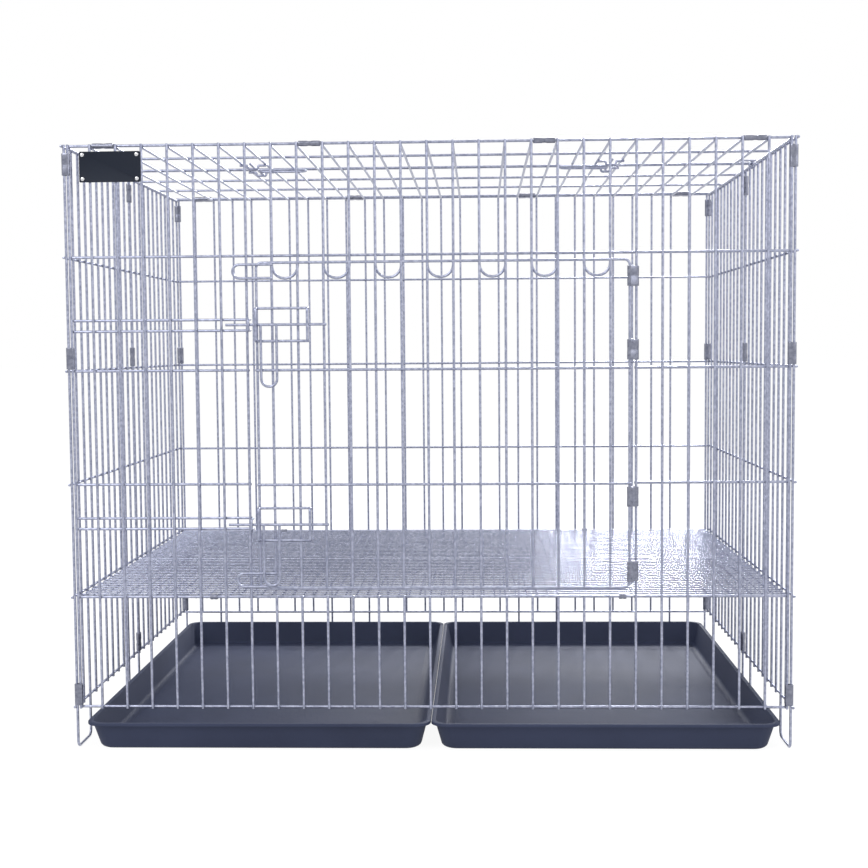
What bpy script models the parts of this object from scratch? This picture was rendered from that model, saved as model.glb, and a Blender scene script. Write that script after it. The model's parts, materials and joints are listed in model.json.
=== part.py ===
"""Folding wire pet cage, every separate piece as its own object.

Sizes are in millimetres in the constants and are turned into metres when a piece is finished.
x runs to the right, y to the back and z up. The cage stands on z = 0.
"""
import math

import bmesh
import bpy
from mathutils import Matrix, Vector

# Overall sizes
WIDTH = 800.0
DEPTH = 550.0
COLUMNS = 28
SIDE_COLUMNS = 11
HINGE_GAP = 4.0
MM = 0.001

# Wire and clearances
WIRE_R = 1.5
SINK = 0.3
CLEAR = 0.3
LAYER = 2 * WIRE_R - SINK
BEND = 5.0
PASS = 2 * WIRE_R + CLEAR

# Heights of the horizontal wires
Z_FOOT = 47.0
Z_FLOOR = 172.0
Z_LOW = 299.0
Z_HIGH = 426.0
Z_LINTEL = 552.0
Z_TOP = 674.0
RAILS = (Z_FOOT, Z_FLOOR, Z_LOW, Z_HIGH, Z_LINTEL, Z_TOP)

# Door opening, given as wire numbers counted from the left
JAMB_LEFT = 7
JAMB_RIGHT = 22
U_DROP = 25.0
DOOR_GAP = 4.0
DOOR_LEFT_GAP = 11.5
DOOR_RIGHT_GAP = 7.6
DOOR_BOTTOM_GAP = 11.0
DOOR_TOP_GAP = 8.0
TAB_REACH = 14.0
TAB_WIDTH = 15.0
TAB_EDGE = 2.0

# Bolts and catches
BOLT_LENGTH = 111.0
BOLT_HANDLE = 68.0
TOP_HANDLE = 58.0
HANDLE_FROM_TIP = 38.5
HANDLE_WIDTH = 17.5
BOLT_TIP_PAST_EYE = 25.5
EYE_FROM_JAMB = 3.5
EYE_HEIGHT = 12.0
CATCH_UPPER_Z = 476.0
CATCH_LOWER_Z = 255.0
GUIDE_HEIGHT = 36.0
GUIDE_LENGTH = 57.0
BOLT_PLAY = 0.5

# Top
FRONT_LEAF_DEPTH = 220.0
LEAF_HINGE_Y = 5.3
LEAF_HINGE_Z = 1.0
TOP_BOLT_COLUMN = 6
TOP_TIP_PAST = 14.0
BOW_SIDE = 6.0
BOW_TIP_Y = 29.0
BOW_TAIL_Y = 92.0
HOOK_R = 1.2
HOOK_RING = 3.6
HOOK_OUT = 10.0
HOOK_IN = 20.0

# Floor
NET_R = 1.0
NET_WIRES = 12
NET_CARRIERS = 5
NET_SIDE = 3.0
NET_MEET = 3.0

# Clips
CLIP_INNER = 2.0
CLIP_SHEET = 1.0
CLIP_TALL = 24.0
CLIP_OFF = 20.0
CLIP_NEAR = 14.5
DOOR_CLIP_TALL = 22.0
RING_LENGTH = 8.0
CLIP_COLUMNS = (1, 9, 18, 26)
RING_COLUMNS = (5, 21)
BACK_FEET = (0, 8, 18, 26)

# Trays
TRAY_HEIGHT = 30.5
TRAY_DEPTH = 562.0
TRAY_STOP = 0.8
TRAY_SIDE = 12.0
TRAY_MIDDLE = 1.6
TRAY_SLOPE = 8.0
TRAY_LIP = 4.0
TRAY_SHEET = 1.6
TRAY_CORNER = 16.0

# Name plate
PLATE_LEFT = 17.5
PLATE_WIDTH = 67.5
PLATE_HEIGHT = 33.5
PLATE_TOP = 6.5
PLATE_SHEET = 1.2
RIVET_IN = 3.6
RIVET_R = 1.0
RIVET_HEAD = 2.2
RIVET_CAP = 0.8

# Values that follow from the ones above
FRONT_Y = -DEPTH / 2
BACK_Y = DEPTH / 2
SIDE_X = WIDTH / 2
RAIL_Y = FRONT_Y + LAYER
DOOR_Y = FRONT_Y - DOOR_GAP
DOOR_BAR_Y = DOOR_Y - LAYER
BOLT_Y = DOOR_BAR_Y - 2 * WIRE_R - BOLT_PLAY
GUIDE_Y = BOLT_Y - PASS
CLIP_FACE = (CLIP_INNER + CLIP_SHEET / 2) * math.cos(math.pi / 8) + CLIP_SHEET / 2
SHIFT_Y = ((WIRE_R - GUIDE_Y) - (BACK_Y + CLIP_FACE)) / 2
LEAF_Z = Z_TOP + LEAF_HINGE_Z
LEAF_LOW_Z = LEAF_Z - LAYER
LEAF_FRONT_Y = RAIL_Y + LEAF_HINGE_Y
LEAF_BACK_Y = -LEAF_FRONT_Y
MEET_Y = FRONT_Y + FRONT_LEAF_DEPTH
TOP_BOLT_Z = LEAF_LOW_Z - 2 * WIRE_R - BOLT_PLAY

STEEL = ("wire", (0.34, 0.36, 0.46), 0.9, 0.32)
CLIP_STEEL = ("clip", (0.40, 0.42, 0.50), 0.9, 0.30)
TRAY_PLASTIC = ("tray", (0.06, 0.07, 0.13), 0.0, 0.45)
PLATE_BLACK = ("plate", (0.01, 0.01, 0.012), 0.0, 0.5)
RIVET_STEEL = ("rivet", (0.70, 0.70, 0.72), 1.0, 0.2)


def column(number):
    """x of an upright wire of the front and back; the outer ones stand in by the hinge gap."""
    if number == 0:
        return -SIDE_X + HINGE_GAP
    if number == COLUMNS:
        return SIDE_X - HINGE_GAP
    return -SIDE_X + number * WIDTH / COLUMNS


JAMB_LEFT_X = column(JAMB_LEFT)
JAMB_RIGHT_X = column(JAMB_RIGHT)
DOOR_LEFT_X = JAMB_LEFT_X + DOOR_LEFT_GAP
DOOR_RIGHT_X = JAMB_RIGHT_X - DOOR_RIGHT_GAP
DOOR_BOTTOM_Z = Z_FLOOR + DOOR_BOTTOM_GAP
DOOR_TOP_Z = Z_LINTEL - DOOR_TOP_GAP
EYE_X = JAMB_LEFT_X + EYE_FROM_JAMB


def start_scene():
    """Empties the scene and adds the collections for the parts and for their helpers."""
    for item in list(bpy.data.objects):
        bpy.data.objects.remove(item)
    parts = bpy.data.collections.new("pet_cage")
    bpy.context.scene.collection.children.link(parts)
    return parts


PARTS = start_scene()


def softened(points, closed=False):
    """Cuts each corner of a path, as a bent wire does."""
    spots = [Vector(point) for point in points]
    count = len(spots)
    path = []
    for index, spot in enumerate(spots):
        if not closed and index in (0, count - 1):
            path.append(spot)
            continue
        before = spots[index - 1] - spot
        after = spots[(index + 1) % count] - spot
        cut = min(BEND, before.length / 3, after.length / 3)
        path.append(spot + before.normalized() * cut)
        path.append(spot + after.normalized() * cut)
    return path


def wires(name, paths, radius=WIRE_R, closed=False):
    """Makes one object of wires that don't touch each other, each along its own path."""
    curve = bpy.data.curves.new(name, "CURVE")
    curve.dimensions = "3D"
    curve.bevel_depth = radius
    curve.bevel_resolution = 0
    curve.use_fill_caps = not closed
    for path in paths:
        spline = curve.splines.new("POLY")
        spline.points.add(len(path) - 1)
        for knot, spot in zip(spline.points, path):
            knot.co = (spot[0], spot[1], spot[2], 1)
        spline.use_cyclic_u = closed
    holder = bpy.data.objects.new(name, curve)
    PARTS.objects.link(holder)
    bpy.context.view_layer.update()
    graph = bpy.context.evaluated_depsgraph_get()
    mesh = bpy.data.meshes.new_from_object(holder.evaluated_get(graph))
    bpy.data.objects.remove(holder)
    return welded(name, mesh)


def welded(name, mesh):
    """Closes the caps of a wire mesh and gives it an object."""
    work = bmesh.new()
    work.from_mesh(mesh)
    bmesh.ops.remove_doubles(work, verts=work.verts, dist=0.0001)
    bmesh.ops.recalc_face_normals(work, faces=work.faces)
    work.to_mesh(mesh)
    work.free()
    made = bpy.data.objects.new(name, mesh)
    PARTS.objects.link(made)
    return made


def apply_all(item):
    """Turns an object's modifiers into its mesh."""
    bpy.context.view_layer.update()
    graph = bpy.context.evaluated_depsgraph_get()
    mesh = bpy.data.meshes.new_from_object(item.evaluated_get(graph))
    item.modifiers.clear()
    item.data = mesh
    return item


def joined(base, *others, operation="UNION"):
    """Welds other objects to the base with exact Booleans, one after the other."""
    for other in others:
        weld = base.modifiers.new("weld", "BOOLEAN")
        weld.operation = operation
        weld.solver = "EXACT"
        weld.object = other
        apply_all(base)
        bpy.data.objects.remove(other)
    return base


def finished(item, name, pivot, finish, round_piece=True):
    """Names a piece, puts its origin on its pivot, in metres, and gives it its own material."""
    item.name = name
    item.data.name = name
    spot = Vector(pivot)
    item.data.transform(Matrix.Scale(MM, 4) @ Matrix.Translation(-spot))
    item.location = (spot + Vector((0, SHIFT_Y, 0))) * MM
    for face in item.data.polygons:
        face.use_smooth = round_piece
    kind, colour, metallic, roughness = finish
    material = bpy.data.materials.new(name + "_" + kind)
    material.use_nodes = True
    shader = material.node_tree.nodes["Principled BSDF"]
    shader.inputs["Base Color"].default_value = (*colour, 1)
    shader.inputs["Metallic"].default_value = metallic
    shader.inputs["Roughness"].default_value = roughness
    material.diffuse_color = (*colour, 1)
    item.data.materials.clear()
    item.data.materials.append(material)
    return item


def upright(x, y, low, high):
    """Path of a straight upright wire."""
    return [(x, y, low), (x, y, high)]


def hairpin(start, end, turn_z, top_z):
    """Path of an upright U: down one wire, across and up the other."""
    return softened([(start[0], start[1], top_z), (start[0], start[1], turn_z),
                     (end[0], end[1], turn_z), (end[0], end[1], top_z)])


def catch(height):
    """Path of a long hairpin whose closed end stands out as the eye for a bolt."""
    left = column(0) - WIRE_R
    high = height + EYE_HEIGHT / 2
    low = height - EYE_HEIGHT / 2
    return [(left, RAIL_Y, high), (EYE_X, RAIL_Y, high), (EYE_X, GUIDE_Y, high),
            (EYE_X, GUIDE_Y, low), (EYE_X, RAIL_Y, low), (left, RAIL_Y, low)]


def front_panel():
    """Front grille with the door opening and the two catches."""
    top = Z_TOP + WIRE_R
    bottom = Z_FOOT - WIRE_R
    paths = []
    for number in range(COLUMNS + 1):
        x = column(number)
        if JAMB_LEFT < number < JAMB_RIGHT:
            paths.append(upright(x, FRONT_Y, bottom, Z_FLOOR + WIRE_R))
        else:
            paths.append(upright(x, FRONT_Y, bottom, top))
    turn = Z_LINTEL - U_DROP
    for number in range(JAMB_LEFT + 1, JAMB_RIGHT, 2):
        start = (column(number), FRONT_Y)
        end = (column(number + 1), FRONT_Y)
        paths.append(hairpin(start, end, turn, top))
    left = column(0) - WIRE_R
    right = column(COLUMNS) + WIRE_R
    bars = []
    for height in RAILS:
        if height in (Z_LOW, Z_HIGH):
            bars.append([(left, RAIL_Y, height), (JAMB_LEFT_X + WIRE_R, RAIL_Y, height)])
            bars.append([(JAMB_RIGHT_X - WIRE_R, RAIL_Y, height), (right, RAIL_Y, height)])
        else:
            bars.append([(left, RAIL_Y, height), (right, RAIL_Y, height)])
    bars.append(catch(CATCH_UPPER_Z))
    bars.append(catch(CATCH_LOWER_Z))
    panel = joined(wires("uprights", paths), wires("bars", bars))
    finished(panel, "front_panel", (0, FRONT_Y, 0), STEEL)


def back_panel():
    """Back grille with four U feet."""
    top = Z_TOP + WIRE_R
    footed = [number + step for number in BACK_FEET for step in (0, 2)]
    paths = []
    for number in range(COLUMNS + 1):
        if number not in footed:
            paths.append(upright(column(number), BACK_Y, Z_FOOT - WIRE_R, top))
    for number in BACK_FEET:
        start = (column(number), BACK_Y)
        end = (column(number + 2), BACK_Y)
        paths.append(hairpin(start, end, WIRE_R, top))
    left = column(0) - WIRE_R
    right = column(COLUMNS) + WIRE_R
    bars = [[(left, -RAIL_Y, height), (right, -RAIL_Y, height)] for height in RAILS]
    panel = joined(wires("uprights", paths), wires("bars", bars))
    finished(panel, "back_panel", (-SIDE_X, BACK_Y, 0), STEEL)


def side_half(side, rear):
    """One half of a side panel; the front halves have the feet."""
    near = HINGE_GAP / 2 if rear else FRONT_Y
    far = BACK_Y if rear else -HINGE_GAP / 2
    x = side * SIDE_X
    spots = [near + (far - near) * step / SIDE_COLUMNS for step in range(SIDE_COLUMNS + 1)]
    feet = () if rear else (0, SIDE_COLUMNS - 2)
    footed = [number + step for number in feet for step in (0, 2)]
    top = Z_TOP + WIRE_R
    paths = []
    for number, y in enumerate(spots):
        if number not in footed:
            paths.append(upright(x, y, Z_FOOT - WIRE_R, top))
    for number in feet:
        paths.append(hairpin((x, spots[number]), (x, spots[number + 2]), WIRE_R, top))
    out = x + side * LAYER
    bars = [[(out, near - WIRE_R, height), (out, far + WIRE_R, height)] for height in RAILS]
    panel = joined(wires("uprights", paths), wires("bars", bars))
    name = ("left" if side < 0 else "right") + ("_rear_side" if rear else "_front_side")
    turns = -HINGE_GAP / 2 if rear and side > 0 else near  # the right rear half holds its own clips
    finished(panel, name, (x, turns, 0), STEEL)


def bow(x, y):
    """Path of a bow under the front lid that carries a top bolt."""
    side = WIDTH / COLUMNS / 2
    high = LEAF_LOW_Z - LAYER
    low = TOP_BOLT_Z - PASS
    return [(x - side - WIRE_R, y, high), (x - BOW_SIDE, y, high), (x - BOW_SIDE, y, low),
            (x + BOW_SIDE, y, low), (x + BOW_SIDE, y, high), (x + side + WIRE_R, y, high)]


def top_bolt_x(side):
    """x of a top bolt, half way between two wires of the lids."""
    return side * (SIDE_X - (TOP_BOLT_COLUMN + 0.5) * WIDTH / COLUMNS)


TOP_TIP_Y = MEET_Y + TOP_TIP_PAST


def top_leaf(rear):
    """A lid of the top; the front one has the bows for the bolts."""
    if rear:
        near = MEET_Y + HINGE_GAP / 2
        far = LEAF_BACK_Y
        cross = 3
    else:
        near = LEAF_FRONT_Y
        far = MEET_Y - HINGE_GAP / 2
        cross = 2
    left = column(0) - WIRE_R
    right = column(COLUMNS) + WIRE_R
    spots = [near + (far - near) * step / cross for step in range(cross + 1)]
    bars = [[(left, y, LEAF_Z), (right, y, LEAF_Z)] for y in spots]
    paths = []
    for number in range(COLUMNS + 1):
        x = column(number)
        paths.append([(x, near - WIRE_R, LEAF_LOW_Z), (x, far + WIRE_R, LEAF_LOW_Z)])
    leaf = joined(wires("runs", paths), wires("bars", bars))
    if not rear:
        bows = []
        for side in (-1, 1):
            for back in (BOW_TIP_Y, BOW_TAIL_Y):
                bows.append(bow(top_bolt_x(side), TOP_TIP_Y - back))
        joined(leaf, wires("bows", bows))
    name = "top_rear_leaf" if rear else "top_front_leaf"
    finished(leaf, name, (0, far if rear else near, LEAF_Z), STEEL)


def floor_net(rear):
    """One half of the floor: fine wires across, on carriers that run to the middle."""
    flip = -1 if rear else 1
    hinge = flip * LEAF_FRONT_Y
    meet = -flip * NET_MEET
    half = SIDE_X - NET_SIDE
    fine = []
    for step in range(NET_WIRES):
        y = hinge + (meet - hinge) * step / (NET_WIRES - 1)
        fine.append([(-half, y, Z_FLOOR), (half, y, Z_FLOOR)])
    inner = half - NET_R
    low = Z_FLOOR - 2 * NET_R + SINK
    runs = []
    for step in range(NET_CARRIERS):
        x = -inner + 2 * inner * step / (NET_CARRIERS - 1)
        runs.append([(x, hinge - flip * NET_R, low), (x, meet + flip * NET_R, low)])
    net = joined(wires("fine", fine, NET_R), wires("runs", runs, NET_R))
    finished(net, "floor_net_rear" if rear else "floor_net_front", (0, hinge, Z_FLOOR), STEEL)


def tab(height):
    """Path of a stop tab that reaches past the left jamb."""
    start = column(JAMB_LEFT + 1) + WIRE_R
    end = JAMB_LEFT_X - TAB_REACH
    return softened([(start, DOOR_BAR_Y, height + TAB_WIDTH / 2),
                     (end, DOOR_BAR_Y, height + TAB_WIDTH / 2),
                     (end, DOOR_BAR_Y, height - TAB_WIDTH / 2),
                     (start, DOOR_BAR_Y, height - TAB_WIDTH / 2)])


def guide_bars(height):
    """Paths of the two bars of a bolt guide, across the door's wires."""
    left = DOOR_LEFT_X - WIRE_R
    right = DOOR_LEFT_X + GUIDE_LENGTH + WIRE_R
    return [[(left, DOOR_BAR_Y, height + step), (right, DOOR_BAR_Y, height + step)]
            for step in (GUIDE_HEIGHT / 2, -GUIDE_HEIGHT / 2)]


def guide_legs(height):
    """Paths of the two legs of a bolt guide, which pass in front of the rod."""
    high = height + GUIDE_HEIGHT / 2
    low = height - GUIDE_HEIGHT / 2
    return [softened([(x, DOOR_BAR_Y, high), (x, GUIDE_Y, high),
                      (x, GUIDE_Y, low), (x, DOOR_BAR_Y, low)])
            for x in (DOOR_LEFT_X, DOOR_LEFT_X + GUIDE_LENGTH)]


def door():
    """Door grille with its stop tabs and the guides of the bolts."""
    rim = softened([(DOOR_LEFT_X, DOOR_Y, DOOR_BOTTOM_Z), (DOOR_RIGHT_X, DOOR_Y, DOOR_BOTTOM_Z),
                    (DOOR_RIGHT_X, DOOR_Y, DOOR_TOP_Z), (DOOR_LEFT_X, DOOR_Y, DOOR_TOP_Z)], True)
    paths = []
    for number in range(JAMB_LEFT + 1, JAMB_RIGHT):
        paths.append(upright(column(number), DOOR_Y, DOOR_BOTTOM_Z, DOOR_TOP_Z))
    bars = []
    for height in (Z_LOW, Z_HIGH):
        bars.append([(DOOR_LEFT_X - WIRE_R, DOOR_BAR_Y, height),
                     (DOOR_RIGHT_X + WIRE_R, DOOR_BAR_Y, height)])
    bars.append(tab(DOOR_TOP_Z - TAB_EDGE - TAB_WIDTH / 2))
    bars.append(tab(DOOR_BOTTOM_Z + TAB_EDGE + TAB_WIDTH / 2))
    bars += guide_bars(CATCH_UPPER_Z) + guide_bars(CATCH_LOWER_Z)
    legs = guide_legs(CATCH_UPPER_Z) + guide_legs(CATCH_LOWER_Z)
    panel = joined(wires("rim", [rim], closed=True), wires("uprights", paths),
                   wires("bars", bars), wires("legs", legs))
    finished(panel, "door", (DOOR_RIGHT_X, DOOR_Y, 0), STEEL)


def bolt(name, tip, along, down, length):
    """A sliding rod with a hairpin handle; tip, run and hang are given as vectors."""
    tip = Vector(tip)
    along = Vector(along)
    down = Vector(down)
    rod = wires("rod", [[tip, tip + along * BOLT_LENGTH]])
    first = tip + along * HANDLE_FROM_TIP
    second = first + along * HANDLE_WIDTH
    legs = softened([first, first + down * length, second + down * length, second])
    whole = joined(rod, wires("handle", [legs]))
    finished(whole, name, tip, STEEL)


def door_bolts():
    """The two bolts of the door."""
    tip_x = EYE_X - BOLT_TIP_PAST_EYE
    for name, height in (("door_bolt_upper", CATCH_UPPER_Z), ("door_bolt_lower", CATCH_LOWER_Z)):
        bolt(name, (tip_x, BOLT_Y, height), (1, 0, 0), (0, 0, -1), BOLT_HANDLE)


def top_bolts():
    """The two bolts that hold the front lid to the rear one."""
    for name, side in (("top_bolt_left", -1), ("top_bolt_right", 1)):
        tip = (top_bolt_x(side), TOP_TIP_Y, TOP_BOLT_Z)
        bolt(name, tip, (0, -1, 0), (-side, 0, 0), TOP_HANDLE)


HOOK_Y = MEET_Y - HINGE_GAP / 2 - WIRE_R - HOOK_R - BOLT_PLAY


def side_hooks():
    """Small hooks that turn on the lid's outer wires and lie over the side panels."""
    for name, side in (("top_side_hook_left", -1), ("top_side_hook_right", 1)):
        x = side * column(COLUMNS)
        ring = []
        for step in range(8):
            angle = step * math.pi / 4
            ring.append((x + HOOK_RING * math.cos(angle), HOOK_Y,
                         LEAF_LOW_Z + HOOK_RING * math.sin(angle)))
        high = LEAF_LOW_Z + HOOK_RING + 2 * HOOK_R - SINK
        bar = [(x + side * HOOK_OUT, HOOK_Y, high), (x - side * HOOK_IN, HOOK_Y, high)]
        hook = joined(wires("ring", [ring], HOOK_R, closed=True), wires("bar", [bar], HOOK_R))
        finished(hook, name, (x, HOOK_Y, LEAF_LOW_Z), STEEL)


def clip(name, first, second, length, axis=(0, 0, 1), pivot=None):
    """A bent sheet clip round two parallel wires that both run along the axis."""
    start = Vector(first)
    end = Vector(second)
    middle = (start + end) / 2
    span = end - start
    work = bmesh.new()
    bmesh.ops.create_circle(work, cap_ends=False, segments=8, radius=CLIP_INNER + CLIP_SHEET / 2)
    bmesh.ops.rotate(work, verts=work.verts, matrix=Matrix.Rotation(math.pi / 8, 3, "Z"))
    for vert in work.verts:
        vert.co.x += math.copysign(span.length / 2, vert.co.x)
        vert.co.z = -length / 2
    ring = bmesh.ops.extrude_edge_only(work, edges=work.edges)
    raised = [item for item in ring["geom"] if isinstance(item, bmesh.types.BMVert)]
    bmesh.ops.translate(work, verts=raised, vec=(0, 0, length))
    bmesh.ops.recalc_face_normals(work, faces=work.faces)
    mesh = bpy.data.meshes.new(name)
    work.to_mesh(mesh)
    work.free()
    made = bpy.data.objects.new(name, mesh)
    PARTS.objects.link(made)
    sheet = made.modifiers.new("sheet", "SOLIDIFY")
    sheet.thickness = CLIP_SHEET
    sheet.offset = 0
    sheet.use_even_offset = True
    apply_all(made)
    run = Vector(axis)
    across = span.normalized()
    frame = Matrix((across, run.cross(across), run)).transposed().to_4x4()
    made.data.transform(Matrix.Translation(middle) @ frame)
    finished(made, name, pivot or middle, CLIP_STEEL)


def upright_clips():
    """Clips of the six upright hinge lines."""
    levels = (("top", Z_TOP - CLIP_OFF), ("middle", Z_HIGH + CLIP_NEAR),
              ("bottom", Z_FOOT + CLIP_NEAR))
    gap = HINGE_GAP / 2
    for label, side in (("left", -1), ("right", 1)):
        outer = side * SIDE_X
        inner = side * column(COLUMNS)
        for level, z in levels:
            clip(label + "_front_clip_" + level, (inner, FRONT_Y, z), (outer, FRONT_Y, z), CLIP_TALL)
            clip(label + "_mid_clip_" + level, (outer, -gap, z), (outer, gap, z), CLIP_TALL,
                 pivot=(outer, FRONT_Y if side < 0 else -gap, z))
            clip(label + "_back_clip_" + level, (inner, BACK_Y, z), (outer, BACK_Y, z), CLIP_TALL)


def lid_clips():
    """Clips that hang the two lids from the front and back panels."""
    for label, flip in (("front", 1), ("rear", -1)):
        for number, left in enumerate(CLIP_COLUMNS, 1):
            x = (column(left) + column(left + 1)) / 2
            rail = (x, flip * RAIL_Y, Z_TOP)
            edge = (x, flip * LEAF_FRONT_Y, LEAF_Z)
            clip("top_{}_clip_{}".format(label, number), rail, edge, CLIP_TALL, (1, 0, 0), rail)


def floor_rings():
    """Short rings that hang the floor halves from the front and back panels."""
    for label, flip in (("front", 1), ("rear", -1)):
        for number, left in enumerate(RING_COLUMNS, 1):
            x = (column(left) + column(left + 1)) / 2
            rail = (x, flip * RAIL_Y, Z_FLOOR)
            edge = (x, flip * LEAF_FRONT_Y, Z_FLOOR)
            clip("floor_{}_ring_{}".format(label, number), rail, edge, RING_LENGTH, (1, 0, 0), rail)


def door_clips():
    """The four clips that the door turns in."""
    half = DOOR_CLIP_TALL / 2
    end = WIRE_R + BEND + CLEAR + half
    levels = (DOOR_TOP_Z - end, Z_HIGH + CLIP_OFF, Z_LOW - CLIP_OFF + BEND, DOOR_BOTTOM_Z + end)
    for number, z in enumerate(levels, 1):
        clip("door_clip_{}".format(number), (DOOR_RIGHT_X, DOOR_Y, z), (JAMB_RIGHT_X, FRONT_Y, z),
             DOOR_CLIP_TALL)


def tray(name, left, right):
    """A waste tray: sloping walls with rounded corners and a lip round the rim."""
    width = right - left
    work = bmesh.new()
    bmesh.ops.create_cube(work, size=1.0)
    bmesh.ops.scale(work, verts=work.verts, vec=(1, 1, TRAY_HEIGHT))
    wide = width - 2 * TRAY_LIP
    long = TRAY_DEPTH - 2 * TRAY_LIP
    for vert in work.verts:
        slope = 2 * TRAY_SLOPE if vert.co.z < 0 else 0
        vert.co.x *= wide - slope
        vert.co.y *= long - slope
        vert.co.z += TRAY_HEIGHT / 2
    corners = [edge for edge in work.edges
               if abs(edge.verts[0].co.z - edge.verts[1].co.z) > TRAY_HEIGHT / 2]
    bmesh.ops.bevel(work, geom=corners, offset=TRAY_CORNER, segments=3, profile=0.5,
                    affect="EDGES", clamp_overlap=False)
    lids = [face for face in work.faces if all(vert.co.z > TRAY_HEIGHT / 2 for vert in face.verts)]
    bmesh.ops.delete(work, geom=lids, context="FACES")
    rim = [edge for edge in work.edges if edge.is_boundary]
    grown = bmesh.ops.extrude_edge_only(work, edges=rim)
    raised = [item for item in grown["geom"] if isinstance(item, bmesh.types.BMVert)]
    bmesh.ops.scale(work, verts=raised, vec=(width / wide, TRAY_DEPTH / long, 1))
    bmesh.ops.recalc_face_normals(work, faces=work.faces)
    mesh = bpy.data.meshes.new(name)
    work.to_mesh(mesh)
    work.free()
    made = bpy.data.objects.new(name, mesh)
    PARTS.objects.link(made)
    sheet = made.modifiers.new("sheet", "SOLIDIFY")
    sheet.thickness = TRAY_SHEET
    sheet.offset = -1
    sheet.use_even_offset = True
    apply_all(made)
    lowest = min(vert.co.z for vert in made.data.vertices)
    spot = Vector(((left + right) / 2, BACK_Y - WIRE_R - TRAY_STOP - TRAY_DEPTH / 2, 0))
    made.data.transform(Matrix.Translation(spot - Vector((0, 0, lowest))))
    finished(made, name, spot, TRAY_PLASTIC, False)


def trays():
    """The two trays, side by side."""
    half = TRAY_MIDDLE / 2
    tray("tray_left", -SIDE_X + TRAY_SIDE, -half)
    tray("tray_right", half, SIDE_X - TRAY_SIDE)


def drum(name, centre, radius, depth, sides=8):
    """A cylinder along y."""
    work = bmesh.new()
    bmesh.ops.create_cone(work, cap_ends=True, segments=sides, radius1=radius, radius2=radius,
                          depth=depth, matrix=Matrix.Translation(centre)
                          @ Matrix.Rotation(math.pi / 2, 4, "X"))
    mesh = bpy.data.meshes.new(name)
    work.to_mesh(mesh)
    work.free()
    made = bpy.data.objects.new(name, mesh)
    PARTS.objects.link(made)
    return made


def name_plate():
    """A bare plate at the top left of the front, with its four rivets."""
    left = -SIDE_X + PLATE_LEFT
    top = Z_TOP - PLATE_TOP
    back = FRONT_Y - WIRE_R - CLEAR
    front = back - PLATE_SHEET
    work = bmesh.new()
    bmesh.ops.create_cube(work, size=1.0)
    bmesh.ops.scale(work, verts=work.verts, vec=(PLATE_WIDTH, PLATE_SHEET, PLATE_HEIGHT))
    middle = Vector((left + PLATE_WIDTH / 2, (front + back) / 2, top - PLATE_HEIGHT / 2))
    bmesh.ops.translate(work, verts=work.verts, vec=middle)
    mesh = bpy.data.meshes.new("name_plate")
    work.to_mesh(mesh)
    work.free()
    plate = bpy.data.objects.new("name_plate", mesh)
    PARTS.objects.link(plate)
    spots = []
    for x in (left + RIVET_IN, left + PLATE_WIDTH - RIVET_IN):
        for z in (top - RIVET_IN, top - PLATE_HEIGHT + RIVET_IN):
            spots.append((x, z))
    for x, z in spots:
        hole = drum("hole", (x, middle.y, z), RIVET_R + CLEAR, 4 * PLATE_SHEET)
        joined(plate, hole, operation="DIFFERENCE")
    finished(plate, "name_plate", middle, PLATE_BLACK, False)
    inner = PLATE_SHEET + 2 * CLEAR
    for number, (x, z) in enumerate(spots, 1):
        shank = drum("shank", (x, middle.y, z), RIVET_R, inner + 2 * SINK)
        far = inner / 2 + RIVET_CAP / 2
        heads = [drum("head", (x, middle.y - far, z), RIVET_HEAD, RIVET_CAP),
                 drum("tail", (x, middle.y + far, z), RIVET_HEAD, RIVET_CAP)]
        rivet = joined(shank, *heads)
        finished(rivet, "plate_rivet_{}".format(number), (x, middle.y, z), RIVET_STEEL)


def main():
    """Builds all the pieces."""
    front_panel()
    back_panel()
    for side in (-1, 1):
        side_half(side, False)
        side_half(side, True)
    top_leaf(False)
    top_leaf(True)
    floor_net(False)
    floor_net(True)
    door()
    door_bolts()
    top_bolts()
    side_hooks()
    upright_clips()
    lid_clips()
    floor_rings()
    door_clips()
    trays()
    name_plate()


main()
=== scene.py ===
"""Looks of the folding wire pet cage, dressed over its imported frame.

Every wire panel is modelled again in round wire with rolled bends, spot welds and dressed ends,
and each piece rides on the body of the solid that it stands for.
"""

import json
import logging
import math
from dataclasses import dataclass, field
from enum import Enum
from typing import Any, Callable, Iterable, Sequence

import bmesh
import bpy
from mathutils import Matrix, Vector


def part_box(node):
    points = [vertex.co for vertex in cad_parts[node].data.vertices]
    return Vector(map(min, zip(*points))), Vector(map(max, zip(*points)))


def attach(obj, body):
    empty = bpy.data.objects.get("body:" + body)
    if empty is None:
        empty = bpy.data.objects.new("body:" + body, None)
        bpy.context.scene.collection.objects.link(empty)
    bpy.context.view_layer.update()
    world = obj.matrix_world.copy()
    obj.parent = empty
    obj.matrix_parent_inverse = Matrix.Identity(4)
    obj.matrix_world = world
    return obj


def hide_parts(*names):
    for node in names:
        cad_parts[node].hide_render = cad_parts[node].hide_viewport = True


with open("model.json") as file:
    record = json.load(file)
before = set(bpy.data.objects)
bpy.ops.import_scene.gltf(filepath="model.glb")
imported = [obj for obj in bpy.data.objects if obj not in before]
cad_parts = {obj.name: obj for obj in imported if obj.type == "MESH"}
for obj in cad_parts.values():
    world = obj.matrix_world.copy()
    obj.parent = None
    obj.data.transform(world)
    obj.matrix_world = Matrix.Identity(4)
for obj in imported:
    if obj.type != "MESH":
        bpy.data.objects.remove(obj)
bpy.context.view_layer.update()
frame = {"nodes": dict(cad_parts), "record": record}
log = logging.getLogger("pet_cage")

MM = 0.001
BACK_OF_CAGE = 276.5
SHIFT_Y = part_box("back_panel")[1][1] / MM - BACK_OF_CAGE

Spot = tuple[float, float, float]
Tint = tuple[float, float, float]
Item = bpy.types.Object


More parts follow.
